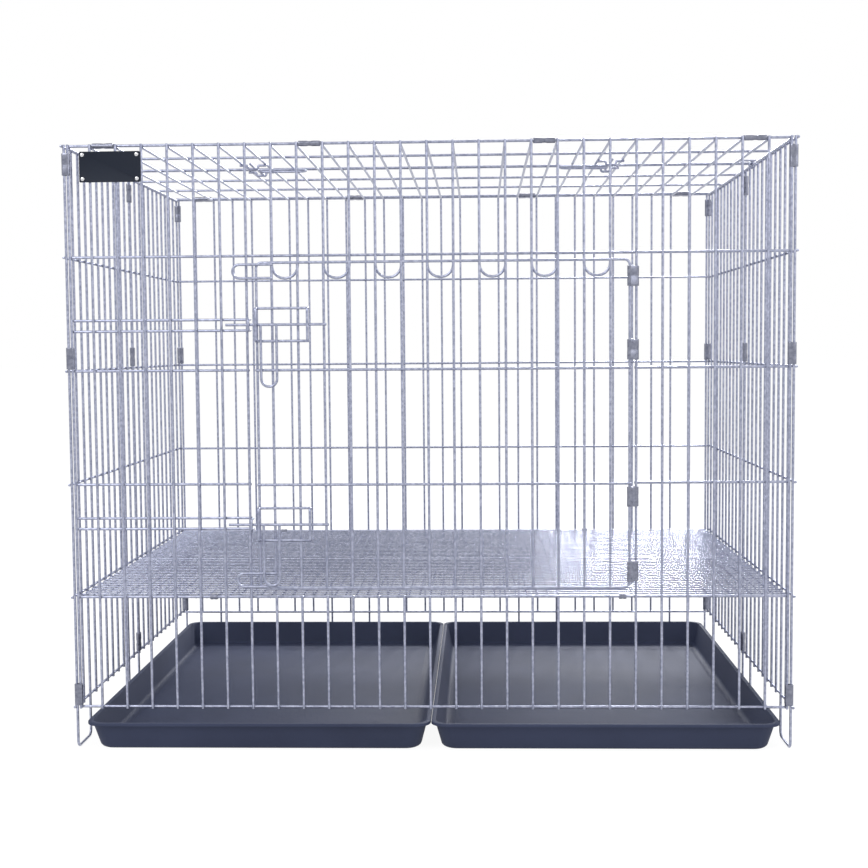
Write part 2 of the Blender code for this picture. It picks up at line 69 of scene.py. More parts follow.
def at(x: float, y: float, z: float) -> Vector:
    """Turns cage sizes in millimetres into a place in the frame.

    Args:
        x: Distance to the right of the middle.
        y: Distance behind the middle of the cage's depth.
        z: Height above the ground.

    Returns:
        The place in metres.
    """
    return Vector((x, y + SHIFT_Y, z)) * MM


class Choice(Enum):
    """A choice whose name is part of some pieces' names."""

    @property
    def word(self) -> str:
        """The choice as it is written in a piece's name."""
        return self.name.lower()


class Side(Choice):
    """The two hands of the cage, as seen from its front."""

    LEFT = -1
    RIGHT = 1


class Half(Choice):
    """Front or rear half of a folding panel."""

    FRONT = 1
    REAR = -1


@dataclass(frozen=True)
class CageSizes:
    """Sizes in millimetres that several sub-assemblies share."""

    width: float = 800.0
    depth: float = 550.0
    columns: int = 28
    side_gaps: int = 11
    hinge_gap: float = 4.0
    wire: float = 1.5
    layer: float = 2.7
    rails: tuple[float, ...] = (47.0, 172.0, 299.0, 426.0, 552.0, 674.0)
    catches: tuple[float, float] = (476.0, 255.0)
    foot_bend: float = 7.0
    lid_hinge_y: float = 5.3
    clearance: float = 0.5
    bite: float = 0.3
    jamb_left: int = 7
    jamb_right: int = 22

    @property
    def front(self) -> float:
        """y of the front panel's upright wires."""
        return -self.depth / 2

    @property
    def back(self) -> float:
        """y of the back panel's upright wires."""
        return self.depth / 2

    @property
    def rail_y(self) -> float:
        """y of the front panel's level wires, which lie inside the upright ones."""
        return self.front + self.layer

    @property
    def foot(self) -> float:
        """Height of the lowest rail."""
        return self.rails[0]

    @property
    def top(self) -> float:
        """Height of the highest rail."""
        return self.rails[-1]

    def column(self, number: int) -> float:
        """x of an upright wire of the front or back.

        Args:
            number: Wire number, counted from the left.

        Returns:
            The wire's x in millimetres.
        """
        edge = self.width / 2 - self.hinge_gap
        return max(-edge, min(edge, -self.width / 2 + number * self.width / self.columns))

    @property
    def uprights(self) -> list[float]:
        """x of each upright wire of the front or back."""
        return [self.column(number) for number in range(self.columns + 1)]

    @property
    def ends(self) -> tuple[float, float]:
        """x of both ends of the level wires of the front, back and top."""
        return self.column(0) - self.wire, self.column(self.columns) + self.wire


SIZES = CageSizes()


def wired(tree: bpy.types.NodeTree, node: bpy.types.Node | str, inputs: dict[Any, Any],
          **settings: str) -> bpy.types.Node:
    """Sets and links the inputs of a node.

    Args:
        tree: The node tree.
        node: The node, or the type of a new one.
        inputs: A value, or a socket to link, for each input.
        **settings: The node's other settings.

    Returns:
        The node.
    """
    if isinstance(node, str):
        node = tree.nodes.new("ShaderNode" + node)
    for name, value in settings.items():
        setattr(node, name, value)
    for name, value in inputs.items():
        if isinstance(value, bpy.types.NodeSocket):
            tree.links.new(value, node.inputs[name])
        else:
            node.inputs[name].default_value = value
    return node


@dataclass(frozen=True)
class Finish:
    """A softly mottled surface with a fine grain, laid out in a piece's own coordinates."""

    name: str
    low: Tint
    high: Tint
    rough: tuple[float, float]
    metallic: float = 0.0
    sheen: float = 0.5
    clouds: float = 9.0
    cloud_detail: float = 4.0
    stops: tuple[float, float] = (0.3, 0.7)
    grain: float = 900.0
    bump: float = 0.15
    relief: float = 0.0002
    rough_by_grain: bool = True

    def make(self) -> bpy.types.Material:
        """Builds the material, or returns the one already built.

        Returns:
            The shared material of this finish.
        """
        made = bpy.data.materials.get(self.name)
        if made:
            return made
        made = bpy.data.materials.new(self.name)
        made.use_nodes = True
        tree = made.node_tree
        place = wired(tree, "TexCoord", {}).outputs["Object"]
        cloud = wired(tree, "TexNoise", {
            "Vector": place, "Scale": self.clouds, "Detail": self.cloud_detail}).outputs["Fac"]
        grain = wired(tree, "TexNoise", {
            "Vector": place, "Scale": self.grain}).outputs["Fac"]
        tint = wired(tree, "ValToRGB", {"Fac": cloud})
        for mark, stop, colour in zip(tint.color_ramp.elements, self.stops,
                                      (self.low, self.high)):
            mark.position = stop
            mark.color = (*colour, 1)
        rough = wired(tree, "MapRange", {
            "Value": grain if self.rough_by_grain else cloud,
            "To Min": self.rough[0], "To Max": self.rough[1]})
        relief = wired(tree, "Bump", {
            "Strength": self.bump, "Distance": self.relief, "Height": grain})
        wired(tree, tree.nodes["Principled BSDF"], {
            "Metallic": self.metallic, "Specular IOR Level": self.sheen,
            "Base Color": tint.outputs["Color"], "Roughness": rough.outputs["Result"],
            "Normal": relief.outputs["Normal"]})
        return made


@dataclass(frozen=True)
class ZincFinish(Finish):
    """Zinc-plated steel with a faintly mottled, drawn surface."""

    name: str = "zinc_wire"
    low: Tint = (0.26, 0.28, 0.38)
    high: Tint = (0.44, 0.46, 0.58)
    rough: tuple[float, float] = (0.24, 0.42)
    metallic: float = 0.85
    clouds: float = 260.0
    cloud_detail: float = 3.0
    stops: tuple[float, float] = (0.35, 0.68)
    grain: float = 2340.0
    bump: float = 0.10
    relief: float = 0.0001
    rough_by_grain: bool = False


def moulded(name: str, colour: Tint, roughness: float, **rest: float) -> Finish:
    """Describes moulded plastic or baked paint: one colour with slight changes of shade.

    Args:
        name: Name of the material.
        colour: Its middle colour.
        roughness: Its middle roughness.
        **rest: Other values of the finish.

    Returns:
        The finish.
    """
    low, high = (tuple(part * (1 + change) for part in colour) for change in (-0.12, 0.12))
    return Finish(name, low, high, (roughness - 0.08, roughness + 0.10), **rest)


WIRE = ZincFinish()
NET = ZincFinish("zinc_net", (0.30, 0.32, 0.42), (0.46, 0.48, 0.58), (0.16, 0.28))
WELD = ZincFinish("weld_scale", (0.16, 0.165, 0.20), (0.32, 0.33, 0.38), (0.4, 0.6), 0.7)
CLIP = ZincFinish("zinc_clip", (0.17, 0.18, 0.235), (0.26, 0.27, 0.335), (0.22, 0.38))
RIVET = ZincFinish("rivet_steel", (0.60, 0.60, 0.62), (0.75, 0.75, 0.77), (0.15, 0.25), 1.0)
TRAY = moulded("tray_plastic", (0.038, 0.047, 0.088), 0.66, sheen=0.20)
PLATE = moulded("plate_black", (0.013, 0.017, 0.028), 0.52, grain=2400.0, bump=0.08, sheen=0.12)


class Bench:
    """Bench tools for wire and sheet work: runs, bends, copies, joins and edges."""

    sides: int = 10
    turn_steps: int = 5
    bend_share: float = 0.48
    least_step: float = 0.001 * MM
    seam: float = 0.02 * MM
    end_inset: float = 0.3
    end_rise: float = 0.2
    bead: float = 1.75
    squeeze: float = 0.55
    join_angle: float = 50.0

    @staticmethod
    def drop_selection() -> None:
        """Leaves edit mode and deselects everything."""
        if bpy.context.mode != "OBJECT":
            bpy.ops.object.mode_set(mode="OBJECT")
        bpy.ops.object.select_all(action="DESELECT")

    @classmethod
    def take(cls, item: Item) -> None:
        """Makes one object the only one that is selected, and the active one."""
        cls.drop_selection()
        item.select_set(True)
        bpy.context.view_layer.objects.active = item

    @classmethod
    def settle(cls, item: Item) -> Item:
        """Applies an object's place, turn and size to its mesh.

        Args:
            item: The object to settle.

        Returns:
            The same object.
        """
        cls.take(item)
        bpy.ops.object.transform_apply(location=True, rotation=True, scale=True)
        return item

    @classmethod
    def block(cls, middle: Vector, size: Sequence[float]) -> Item:
        """Makes a box from its middle and its size, in metres."""
        cls.drop_selection()
        bpy.ops.mesh.primitive_cube_add(size=1.0, location=middle)
        made = bpy.context.object
        made.scale = size
        return cls.settle(made)

    @classmethod
    def wire(cls, name: str, path: Sequence[Vector], radius: float, bend: float = 5.0,
             closed: bool = False) -> Item:
        """Draws one round wire along a path, with rolled bends and dressed ends.

        Args:
            name: Name of the new object.
            path: The path's corners, in metres.
            radius: Radius of the wire in millimetres.
            bend: Radius of the bends in millimetres.
            closed: Whether the last corner runs back to the first.

        Returns:
            The wire.
        """
        spots = [Vector(spot) for spot in path]
        if closed:
            middle = (spots[0] + spots[1]) / 2
            spots = [middle] + spots[1:] + [spots[0], middle]
        runs = [(spots[i + 1] - spots[i]) for i in range(len(spots) - 1)]
        first = runs[0].normalized()
        cls.drop_selection()
        bpy.ops.mesh.primitive_circle_add(vertices=cls.sides, radius=radius * MM,
                                          location=spots[0],
                                          rotation=first.to_track_quat("Z", "Y").to_euler())
        made = bpy.context.object
        made.name = name
        bpy.ops.object.mode_set(mode="EDIT")
        bpy.ops.mesh.select_mode(type="VERT")
        bpy.ops.mesh.select_all(action="SELECT")
        spent = 0.0
        for index, run in enumerate(runs):
            heading = run.normalized()
            if index == len(runs) - 1:
                cls.draw(heading * (run.length - spent))
                break
            following = runs[index + 1].normalized()
            turn = heading.angle(following)
            shorter = min(run.length, runs[index + 1].length)
            rolled = min(bend * MM, cls.bend_share * shorter / math.tan(turn / 2))
            tangent = rolled * math.tan(turn / 2)
            cls.draw(heading * (run.length - spent - tangent))
            inward = (following - heading * following.dot(heading)).normalized()
            corner = spots[index + 1] - heading * tangent + inward * rolled
            count = max(2, round(cls.turn_steps * turn / (math.pi / 2)))
            bpy.ops.mesh.spin(steps=count, angle=turn, center=corner,
                              axis=-heading.cross(following))
            spent = tangent
        bpy.ops.mesh.select_all(action="SELECT")
        if closed:
            bpy.ops.mesh.remove_doubles(threshold=cls.seam)
        else:
            cls.cap(made, radius)
        bpy.ops.mesh.select_all(action="SELECT")
        bpy.ops.mesh.normals_make_consistent(inside=False)
        bpy.ops.object.mode_set(mode="OBJECT")
        return cls.settle(made)

    @classmethod
    def draw(cls, step: Vector) -> None:
        """Pulls the selected ring of a wire along a step."""
        if step.length > cls.least_step:
            bpy.ops.mesh.extrude_region_move(TRANSFORM_OT_translate={"value": step})

    @classmethod
    def cap(cls, item: Item, radius: float) -> None:
        """Closes the ends of a wire that is in edit mode and takes their edge off.

        Args:
            item: The wire.
            radius: Its radius in millimetres.
        """
        bpy.ops.mesh.select_non_manifold(extend=False)
        bpy.ops.mesh.fill_holes(sides=0)
        bpy.ops.mesh.select_all(action="SELECT")
        bpy.ops.mesh.normals_make_consistent(inside=False)
        cls.pick(item, "FACE", lambda face: len(face.verts) == cls.sides)
        bpy.ops.mesh.inset(thickness=radius * cls.end_inset * MM, depth=radius * cls.end_rise * MM)
        bpy.ops.mesh.select_mode(type="VERT")

    @staticmethod
    def pick(item: Item, kind: str, wanted: Callable[..., bool]) -> None:
        """Selects only those elements of an object in edit mode that pass a test.

        Args:
            item: The object.
            kind: VERT, EDGE or FACE.
            wanted: The test, which is given one element.
        """
        bpy.ops.mesh.select_mode(type=kind)
        bpy.ops.mesh.select_all(action="DESELECT")
        work = bmesh.from_edit_mesh(item.data)
        for element in {"VERT": work.verts, "EDGE": work.edges, "FACE": work.faces}[kind]:
            element.select_set(wanted(element))
        work.select_flush_mode()
        bmesh.update_edit_mesh(item.data)

    @staticmethod
    def beyond(axis: int, level: float) -> Callable[[bmesh.types.BMVert], bool]:
        """A test of whether a corner lies beyond a level along an axis."""
        return lambda vert: vert.co[axis] > level

    @classmethod
    def form(cls, item: Item, sheet: float, edge: float, steps: int, angle: float) -> None:
        """Gives an open shell its thickness and takes the edge off sharp corners.

        Args:
            item: The object.
            sheet: Thickness in millimetres, half to each side, or 0 where it is solid.
            edge: Width of the eased edges in millimetres.
            steps: Steps of the eased edges.
            angle: Least angle of a corner that is eased, in degrees.
        """
        if sheet:
            wall = item.modifiers.new("wall", "SOLIDIFY")
            wall.thickness = sheet * MM
            wall.offset = 0.0
        rim = item.modifiers.new("rim", "BEVEL")
        rim.width = edge * MM
        rim.segments = steps
        rim.angle_limit = math.radians(angle)
        cls.take(item)
        for name in [modifier.name for modifier in item.modifiers]:
            bpy.ops.object.modifier_apply(modifier=name)

    @classmethod
    def smooth(cls, item: Item, name: str, angle: float) -> None:
        """Names a finished object and shades it smooth.

        Args:
            item: The object.
            name: Its name.
            angle: Least angle of an edge that stays sharp, in degrees.
        """
        cls.take(item)
        item.name = item.data.name = name
        bpy.ops.object.shade_smooth_by_angle(angle=math.radians(angle))

    @staticmethod
    def copies(item: Item, steps: Iterable[Vector]) -> list[Item]:
        """Copies a settled object, each copy with its own mesh.

        Args:
            item: The object to copy.
            steps: How far each copy stands from the first one, in metres.

        Returns:
            The first object and its copies.
        """
        made = [item]
        for step in steps:
            twin = item.copy()
            twin.data = item.data.copy()
            twin.data.transform(Matrix.Translation(step))
            bpy.context.scene.collection.objects.link(twin)
            made.append(twin)
        return made

    @classmethod
    def join(cls, name: str, items: Sequence[Item]) -> Item:
        """Joins several objects into one mesh.

        Args:
            name: Name of the joined object.
            items: The objects to join.

        Returns:
            The joined object.
        """
        cls.drop_selection()
        for item in items:
            item.select_set(True)
        bpy.context.view_layer.objects.active = items[0]
        bpy.ops.object.join()
        whole = bpy.context.object
        cls.smooth(whole, name, cls.join_angle)
        return whole

    @classmethod
    def nugget(cls, spot: Vector, thin: str) -> Item:
        """Makes the squeezed bead of a spot weld.

        Args:
            spot: Middle of the bead, in metres.
            thin: Axis across the two wires, along which the bead is thin.

        Returns:
            The bead.
        """
        cls.drop_selection()
        bpy.ops.mesh.primitive_uv_sphere_add(segments=8, ring_count=4, radius=cls.bead * MM,
                                             location=spot)
        bead = bpy.context.object
        bpy.ops.object.mode_set(mode="EDIT")
        bpy.ops.mesh.select_all(action="SELECT")
        value = [cls.squeeze if axis == thin else 1 for axis in "xyz"]
        bpy.ops.transform.resize(value=value, center_override=spot)
        bpy.ops.object.mode_set(mode="OBJECT")
        return cls.settle(bead)


class Dress:
    """Gives finished pieces their material and body."""

    @staticmethod
    def coat(item: Item, finish: Finish) -> None:
        """Gives an object one finish and no other."""
        item.data.materials.clear()
        item.data.materials.append(finish.make())

    @classmethod
    def piece(cls, item: Item, node: str, body: str, slot: str,
              finish: Finish | None = None) -> None:
        """Puts one finished piece in its solid's place.

        Args:
            item: The finished piece.
            node: The solid that it stands for.
            body: The body that it rides on.
            slot: The record's material slot; not used.
            finish: Its finish, where it hasn't been coated yet.
        """
        if finish:
            cls.coat(item, finish)
        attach(item, body)
        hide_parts(node)
        log.info("%s rides on %s", item.name, body)


@dataclass
class Grille:
    """A welded wire panel that is put together wire by wire."""

    name: str
    node: str
    body: str
    finish: ZincFinish = WIRE
    wires: list[Item] = field(default_factory=list)
    beads: list[Item] = field(default_factory=list)

    def row(self, path: Sequence[Spot], steps: Iterable[Spot], radius: float = SIZES.wire,
            bend: float = 5.0, closed: bool = False) -> None:
        """Adds one wire and its copies.

        Args:
            path: Corners of the first wire, in millimetres.
            steps: How far each copy stands from it, in millimetres.
            radius: Radius of the wire in millimetres.
            bend: Radius of its bends in millimetres.
            closed: Whether it is a closed loop.
        """
        first = Bench.wire(self.name, [at(*spot) for spot in path], radius, bend, closed)
        self.wires += Bench.copies(first, [Vector(step) * MM for step in steps])

    def ranks(self, path: Sequence[Spot], axis: int, places: Sequence[float]) -> None:
        """Adds the same wire at several places along an axis.

        Args:
            path: Corners of the wire at the first place, in millimetres.
            axis: 0 for x, 1 for y or 2 for z.
            places: All of the places, in millimetres.
        """
        steps = []
        for place in places[1:]:
            steps.append([0.0, 0.0, 0.0])
            steps[-1][axis] = place - places[0]
        self.row(path, steps)

    def welds(self, places: Sequence[Spot], thin: str) -> None:
        """Adds the beads of the spot welds.

        Args:
            places: Middles of the beads, in millimetres.
            thin: Axis across the two wires.
        """
        first = at(*places[0])
        bead = Bench.nugget(first, thin)
        self.beads += Bench.copies(bead, [at(*place) - first for place in places[1:]])

    def finish_up(self) -> None:
        """Joins the wires and beads, and dresses the whole."""
        whole = Bench.join(self.name, self.wires)
        Dress.coat(whole, self.finish)
        if self.beads:
            spots = Bench.join(self.name + "_welds", self.beads)
            Dress.coat(spots, WELD)
            whole = Bench.join(self.name, [whole, spots])
        Dress.piece(whole, self.node, self.body, "wire")


@dataclass
class EndPanels:
    """The front and back panels."""

    u_drop: float = 25.0
    u_wires: int = 7
    eye_from_jamb: float = 3.5
    eye_height: float = 12.0
    eye_y: float = -288.5
    eye_bend: float = 3.0
    back_feet: tuple[int, ...] = (0, 8, 18, 26)

    def build_front(self) -> None:
        """Models the front panel with its opening, U wires and catches."""
        size = SIZES
        panel = Grille("front_grille", "front_panel", "cage_front")
        top, bottom = size.top + size.wire, size.foot - size.wire
        short = size.uprights[size.jamb_left + 1:size.jamb_right]
        tall = [x for x in size.uprights if x not in short]
        y = size.front
        panel.ranks([(tall[0], y, bottom), (tall[0], y, top)], 0, tall)
        sill = size.rails[1] + size.wire
        panel.ranks([(short[0], y, bottom), (short[0], y, sill)], 0, short)
        turn = size.rails[4] - self.u_drop
        step = size.width / size.columns
        panel.row([(short[0], y, top), (short[0], y, turn),
                   (short[1], y, turn), (short[1], y, top)],
                  [(2 * n * step, 0, 0) for n in range(1, self.u_wires)], bend=step / 2)
        full = [size.rails[0], size.rails[1], size.rails[4], size.rails[5]]
        ends = size.ends
        panel.ranks([(ends[0], size.rail_y, full[0]), (ends[1], size.rail_y, full[0])], 2, full)
        jambs = (size.column(size.jamb_left), size.column(size.jamb_right))
        part = [size.rails[2], size.rails[3]]
        for start, end in ((ends[0], jambs[0] + size.wire), (jambs[1] - size.wire, ends[1])):
            panel.ranks([(start, size.rail_y, part[0]), (end, size.rail_y, part[0])], 2, part)
        eye = jambs[0] + self.eye_from_jamb
        catch = size.catches[0]
        high, low = catch + self.eye_height / 2, catch - self.eye_height / 2
        panel.row([(ends[0], size.rail_y, high), (eye, size.rail_y, high), (eye, self.eye_y, high),
                   (eye, self.eye_y, low), (eye, size.rail_y, low), (ends[0], size.rail_y, low)],
                  [(0, 0, size.catches[1] - catch)], bend=self.eye_bend)
        crossings = [(x, z) for xs, zs in ((tall, full), (tall, part), (short, full))
                     for x in xs for z in zs]
        crossings += [(x, z + flip * self.eye_height / 2)
                      for x in size.uprights[:size.jamb_left + 1]
                      for z in size.catches for flip in (1, -1)]
        middle = y + size.layer / 2
        panel.welds([(x, middle, z) for x, z in crossings], "y")
        panel.finish_up()

    def build_back(self) -> None:
        """Models the back panel with its U feet."""
        size = SIZES
        panel = Grille("back_grille", "back_panel", "cage_back")
        top = size.top + size.wire
        footed = [n + step for n in self.back_feet for step in (0, 2)]
        plain = [x for n, x in enumerate(size.uprights) if n not in footed]
        y = size.back
        panel.ranks([(plain[0], y, size.foot - size.wire), (plain[0], y, top)], 0, plain)
        for n in self.back_feet:
            a, b = size.column(n), size.column(n + 2)
            panel.row([(a, y, top), (a, y, size.wire), (b, y, size.wire), (b, y, top)], [],
                      bend=size.foot_bend)
        panel.ranks([(x, -size.rail_y, size.foot) for x in size.ends], 2, size.rails)
        middle = y - size.layer / 2
        panel.welds([(x, middle, z) for x in size.uprights for z in size.rails], "y")
        panel.finish_up()


@dataclass
class SidePanels:
    """The four half side panels."""

    def build(self, side: Side, half: Half) -> None:
        """Models one half side panel.

        Args:
            side: Which side of the cage.
            half: Front half, with feet, or rear half.
        """
        size = SIZES
        rear = half is Half.REAR
        near = size.hinge_gap / 2 if rear else size.front
        far = size.back if rear else -size.hinge_gap / 2
        x = side.value * size.width / 2
        gaps = size.side_gaps
        spots = [near + (far - near) * n / gaps for n in range(gaps + 1)]
        feet = () if rear else (0, gaps - 2)
        footed = [n + step for n in feet for step in (0, 2)]
        top = size.top + size.wire
        node = f"{side.word}_{half.word}_side"
        panel = Grille(node + "_grille", node, node)
        plain = [y for n, y in enumerate(spots) if n not in footed]
        panel.ranks([(x, plain[0], size.foot - size.wire), (x, plain[0], top)], 1, plain)
        for n in feet:
            a, b = spots[n], spots[n + 2]
            panel.row([(x, a, top), (x, a, size.wire), (x, b, size.wire), (x, b, top)], [],
                      bend=size.foot_bend)
        out = x + side.value * size.layer
        panel.ranks([(out, near - size.wire, size.foot), (out, far + size.wire, size.foot)], 2,
                    size.rails)
        middle = x + side.value * size.layer / 2
        panel.welds([(middle, y, z) for y in spots for z in size.rails], "x")
        panel.finish_up()


@dataclass
class Lids:
    """The two lids of the top, with the bows for the bolts on the front one."""

    hinge_z: float = 1.0
    front_depth: float = 220.0
    front_gaps: int = 2
    rear_gaps: int = 3
    bow_side: float = 6.0
    bow_bend: float = 2.0
    bow_rows: tuple[float, float] = (29.0, 92.0)
    tip_past: float = 14.0
    bolt_column: float = 6.5

    def bolt_x(self, side: Side) -> float:
        """x of a lid's bolt on one side."""
        return side.value * (SIZES.width / 2 - self.bolt_column * SIZES.width / SIZES.columns)

    @property
    def tip_y(self) -> float:
        """y of the tips of the lid's bolts."""
        return SIZES.front + self.front_depth + self.tip_past

    @property
    def level(self) -> float:
        """Height of the lids' cross wires."""
        return SIZES.top + self.hinge_z

    @property
    def bolt_z(self) -> float:
        """Height of the rods of the lid's bolts."""
        return self.level - SIZES.layer - 2 * SIZES.wire - SIZES.clearance

    def build(self, half: Half) -> None:
        """Models one lid.

        Args:
            half: Front or rear lid.
        """
        size = SIZES
        meet = size.front + self.front_depth
        hinge = size.rail_y + size.lid_hinge_y
        if half is Half.REAR:
            near, far, cross = meet + size.hinge_gap / 2, -hinge, self.rear_gaps
        else:
            near, far, cross = hinge, meet - size.hinge_gap / 2, self.front_gaps
        node = f"top_{half.word}_leaf"
        lid = Grille(node + "_grille", node, node)
        ends, columns = size.ends, size.uprights
        rows = [near + (far - near) * n / cross for n in range(cross + 1)]
        lid.ranks([(ends[0], near, self.level), (ends[1], near, self.level)], 1, rows)
        low = self.level - size.layer
        lid.ranks([(columns[0], near - size.wire, low), (columns[0], far + size.wire, low)], 0,
                  columns)
        lid.welds([(x, y, self.level - size.layer / 2) for x in columns for y in rows], "z")
        if half is Half.FRONT:
            reach = size.width / size.columns / 2 + size.wire
            high, deep = low - size.layer, self.bolt_z - 2 * size.wire - size.bite
            for side in Side:
                x = self.bolt_x(side)
                y = self.tip_y - self.bow_rows[0]
                lid.row([(x - reach, y, high), (x - self.bow_side, y, high),
                         (x - self.bow_side, y, deep), (x + self.bow_side, y, deep),
                         (x + self.bow_side, y, high), (x + reach, y, high)],
                        [(0, self.bow_rows[0] - self.bow_rows[1], 0)], bend=self.bow_bend)
        lid.finish_up()


@dataclass
class FloorNets:
    """The two halves of the fine welded floor net."""

    wire: float = 1.0
    side: float = 3.0
    meet: float = 3.0
    pitch: float = 12.0

    def build(self, half: Half) -> None:
        """Models one half of the floor.

        Args:
            half: Front or rear half.
        """
        size = SIZES
        flip = half.value
        hinge = flip * (size.rail_y + size.lid_hinge_y)
        meet = -flip * self.meet
        reach = size.width / 2 - self.side
        z = size.rails[1]
        low = z - 2 * self.wire + size.bite
        node = f"floor_net_{half.word}"
        net = Grille(node + "_mesh", node, node, NET)
        rows = round(abs(meet - hinge) / self.pitch)
        step = (meet - hinge) / rows
        net.row([(-reach, hinge, z), (reach, hinge, z)],
                [(0, step * n, 0) for n in range(1, rows + 1)], self.wire)
        inner = reach - self.wire
        runs = round(2 * inner / self.pitch)
        net.row([(-inner, hinge - flip * self.wire, low), (-inner, meet + flip * self.wire, low)],
                [(2 * inner * n / runs, 0, 0) for n in range(1, runs + 1)], self.wire)
        net.finish_up()


@dataclass
class Door:
    """The door with its stop tabs and bolt guides."""

    left: float = -188.5
    right: float = 220.97
    gap: float = 4.0
    gap_below: float = 11.0
    gap_above: float = 8.0
    rim_bend: float = 6.0
    tab_reach: float = 14.0
    tab_width: float = 15.0
    tab_edge: float = 2.0
    tab_bend: float = 7.4
    guide_length: float = 57.0
    guide_height: float = 36.0
    guide_y: float = -288.5
    guide_bend: float = 4.0

    @property
    def bottom(self) -> float:
        """Height of the door's lowest wire."""
        return SIZES.rails[1] + self.gap_below

    @property
    def top(self) -> float:
        """Height of the door's highest wire."""
        return SIZES.rails[4] - self.gap_above

    @property
    def y(self) -> float:
        """y of the door's rim and upright wires."""
        return SIZES.front - self.gap

    @property
    def bar_y(self) -> float:
        """y of the door's level wires, in front of the upright ones."""
        return self.y - SIZES.layer

    def build(self) -> None:
        """Models the door."""
        size = SIZES
        door = Grille("door_grille", "door", "door")
        door.row([(self.left, self.y, self.bottom), (self.right, self.y, self.bottom),
                  (self.right, self.y, self.top), (self.left, self.y, self.top)], [],
                 bend=self.rim_bend, closed=True)
        inner = size.uprights[size.jamb_left + 1:size.jamb_right]
        door.ranks([(inner[0], self.y, self.bottom), (inner[0], self.y, self.top)], 0, inner)
        bars = (size.rails[2], size.rails[3])
        door.ranks([(self.left - size.wire, self.bar_y, bars[0]),
                    (self.right + size.wire, self.bar_y, bars[0])], 2, bars)
        start, end = inner[0] + size.wire, size.column(size.jamb_left) - self.tab_reach
        low = self.bottom + self.tab_edge
        high = self.top - self.tab_edge - self.tab_width
        rise = low + self.tab_width
        door.row([(start, self.bar_y, rise), (end, self.bar_y, rise), (end, self.bar_y, low),
                  (start, self.bar_y, low)], [(0, 0, high - low)], bend=self.tab_bend)
        ends = (self.left - size.wire, self.left + self.guide_length + size.wire)
        base = size.catches[1] - self.guide_height / 2
        drop = size.catches[1] - size.catches[0]
        door.row([(ends[0], self.bar_y, base), (ends[1], self.bar_y, base)],
                 [(0, 0, z) for z in (self.guide_height, -drop, self.guide_height - drop)])
        upper = size.catches[0] + self.guide_height / 2
        lower = size.catches[0] - self.guide_height / 2
        door.row([(self.left, self.bar_y, upper), (self.left, self.guide_y, upper),
                  (self.left, self.guide_y, lower), (self.left, self.bar_y, lower)],
                 [(self.guide_length, 0, 0), (0, 0, drop), (self.guide_length, 0, drop)],
                 bend=self.guide_bend)
        middle = (self.y + self.bar_y) / 2
        door.welds([(x, middle, z) for x in [self.left] + inner + [self.right] for z in bars],
                   "y")
        door.finish_up()


@dataclass
class Bolts:
    """The four sliding bolts with hairpin handles."""

    length: float = 111.0
    first_leg: float = 38.5
    handle_width: float = 17.5
    handle_slack: float = 0.05
    door_tip: float = -222.0
    door_y: float = -285.2
    door_handle: float = 68.0
    lid_handle: float = 58.0

    def build(self, node: str, tip: Spot, along: Spot, down: Spot, reach: float) -> None:
        """Models one bolt.

        Args:
            node: The solid and body that it stands for.
            tip: Tip of the rod, in millimetres.
            along: Direction from the tip along the rod.
            down: Direction in which the handle lies.
            reach: Length of the handle in millimetres.
        """
        bolt = Grille(node + "_wire", node, node)
        start, run, hang = Vector(tip), Vector(along), Vector(down)
        bolt.row([tuple(start), tuple(start + run * self.length)], [])
        leg = start + run * self.first_leg
        other = leg + run * self.handle_width
        bolt.row([tuple(leg), tuple(leg + hang * reach), tuple(other + hang * reach), tuple(other)],
                 [], bend=self.handle_width / 2 - self.handle_slack)
        bolt.finish_up()

    def build_all(self, lids: Lids) -> None:
        """Models the door's and the lid's bolts.

        Args:
            lids: The lids, for the places of their bolts.
        """
        for word, z in zip(("upper", "lower"), SIZES.catches):
            self.build("door_bolt_" + word, (self.door_tip, self.door_y, z), (1, 0, 0), (0, 0, -1),
                       self.door_handle)
        for side in Side:
            self.build("top_bolt_" + side.word, (lids.bolt_x(side), lids.tip_y, lids.bolt_z),
                       (0, -1, 0), (-side.value, 0, 0), self.lid_handle)


@dataclass
class SideHooks:
    """Small hooks that turn on the front lid's outer wires."""

    wire: float = 1.2
    ring: float = 3.6
    corners: int = 12
    bend: float = 0.9
    out: float = 10.0
    inward: float = 20.0

    def build(self, side: Side, lids: Lids) -> None:
        """Models one hook.

        Args:
            side: Which side of the cage.
            lids: The lids, for the hook's height.
        """
        size = SIZES
        node = "top_side_hook_" + side.word
        hook = Grille(node + "_wire", node, node)
        x = side.value * size.column(size.columns)
        low = lids.level - size.layer
        meet = size.front + lids.front_depth
        y = meet - size.hinge_gap / 2 - size.wire - self.wire - size.clearance
        turns = [2 * math.pi * step / self.corners for step in range(self.corners)]
        hook.row([(x + self.ring * math.cos(turn), y, low + self.ring * math.sin(turn))
                  for turn in turns], [], self.wire, bend=self.bend, closed=True)
        high = low + self.ring + 2 * self.wire - size.bite
        hook.row([(x + side.value * self.out, y, high), (x - side.value * self.inward, y, high)],
                 [], self.wire)
        hook.finish_up()


